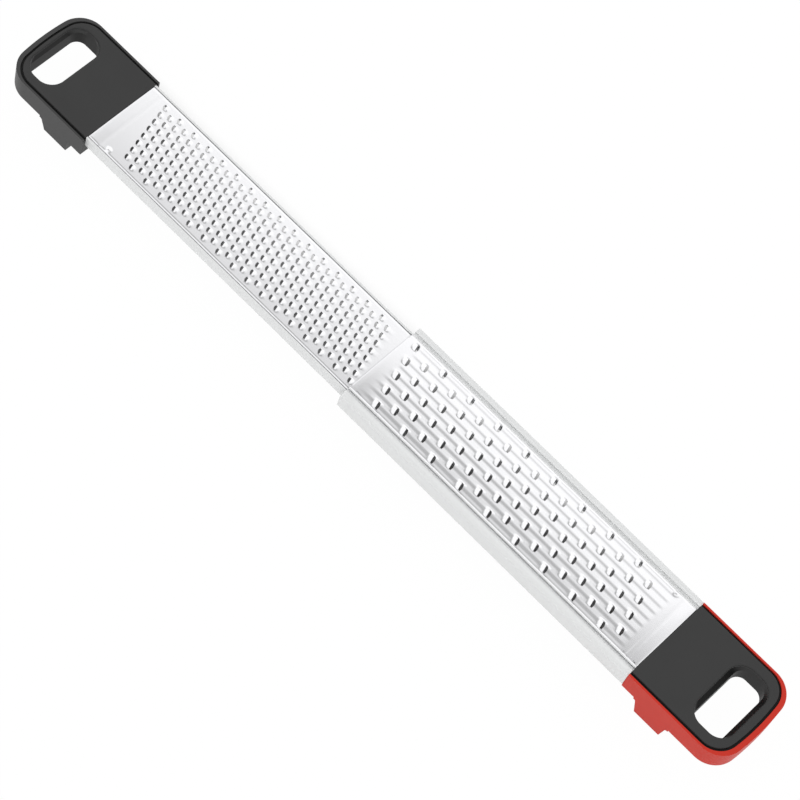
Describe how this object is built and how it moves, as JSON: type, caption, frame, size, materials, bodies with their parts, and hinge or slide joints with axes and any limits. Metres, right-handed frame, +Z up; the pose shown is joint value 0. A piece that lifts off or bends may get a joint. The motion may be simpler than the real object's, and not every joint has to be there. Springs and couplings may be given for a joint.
{
  "type": "two-in-one rasp zester",
  "caption": "Hand rasp in two nesting halves: a coarse blade and a fine blade, each in a clear frame with a soft-topped handle, hang hole and foot; one slides under the other.",
  "frame": {"origin": "on the table under the middle of the pair, as it lies drawn out to its full length", "axes": "+X along the pair from the fine rasp's handle to the coarse rasp's handle, +Z up, teeth on top"},
  "size_m": [0.4284, 0.0488, 0.024],
  "materials": {
    "steel": "satin stainless sheet with pressed teeth",
    "clear_plastic": "clear, glossy",
    "red_plastic": "satin",
    "grey_plastic": "satin",
    "black_plastic": "satin",
    "grip_rubber": "matt, soft",
    "pad_rubber": "matt",
    "screw_steel": "zinc plated"
  },
  "bodies": {
    "coarse_rasp": {"coarse_blade": "steel", "coarse_frame": "clear_plastic", "coarse_handle_shell": "red_plastic", "coarse_handle_core": "black_plastic", "coarse_grip_skin": "grip_rubber", "coarse_foot_pad": "pad_rubber", "coarse_handle_screws": "screw_steel"},
    "fine_rasp": {"fine_blade": "steel", "fine_frame": "clear_plastic", "fine_handle_shell": "grey_plastic", "fine_handle_core": "black_plastic", "fine_grip_skin": "grip_rubber", "fine_foot_pad": "pad_rubber", "fine_handle_screws": "screw_steel"}
  },
  "joints": [
    {"name": "nesting_slide", "type": "slide", "parent": "coarse_rasp", "child": "fine_rasp", "axis": [1, 0, 0], "range_m": [-0.003, 0.1584]}
  ]
}
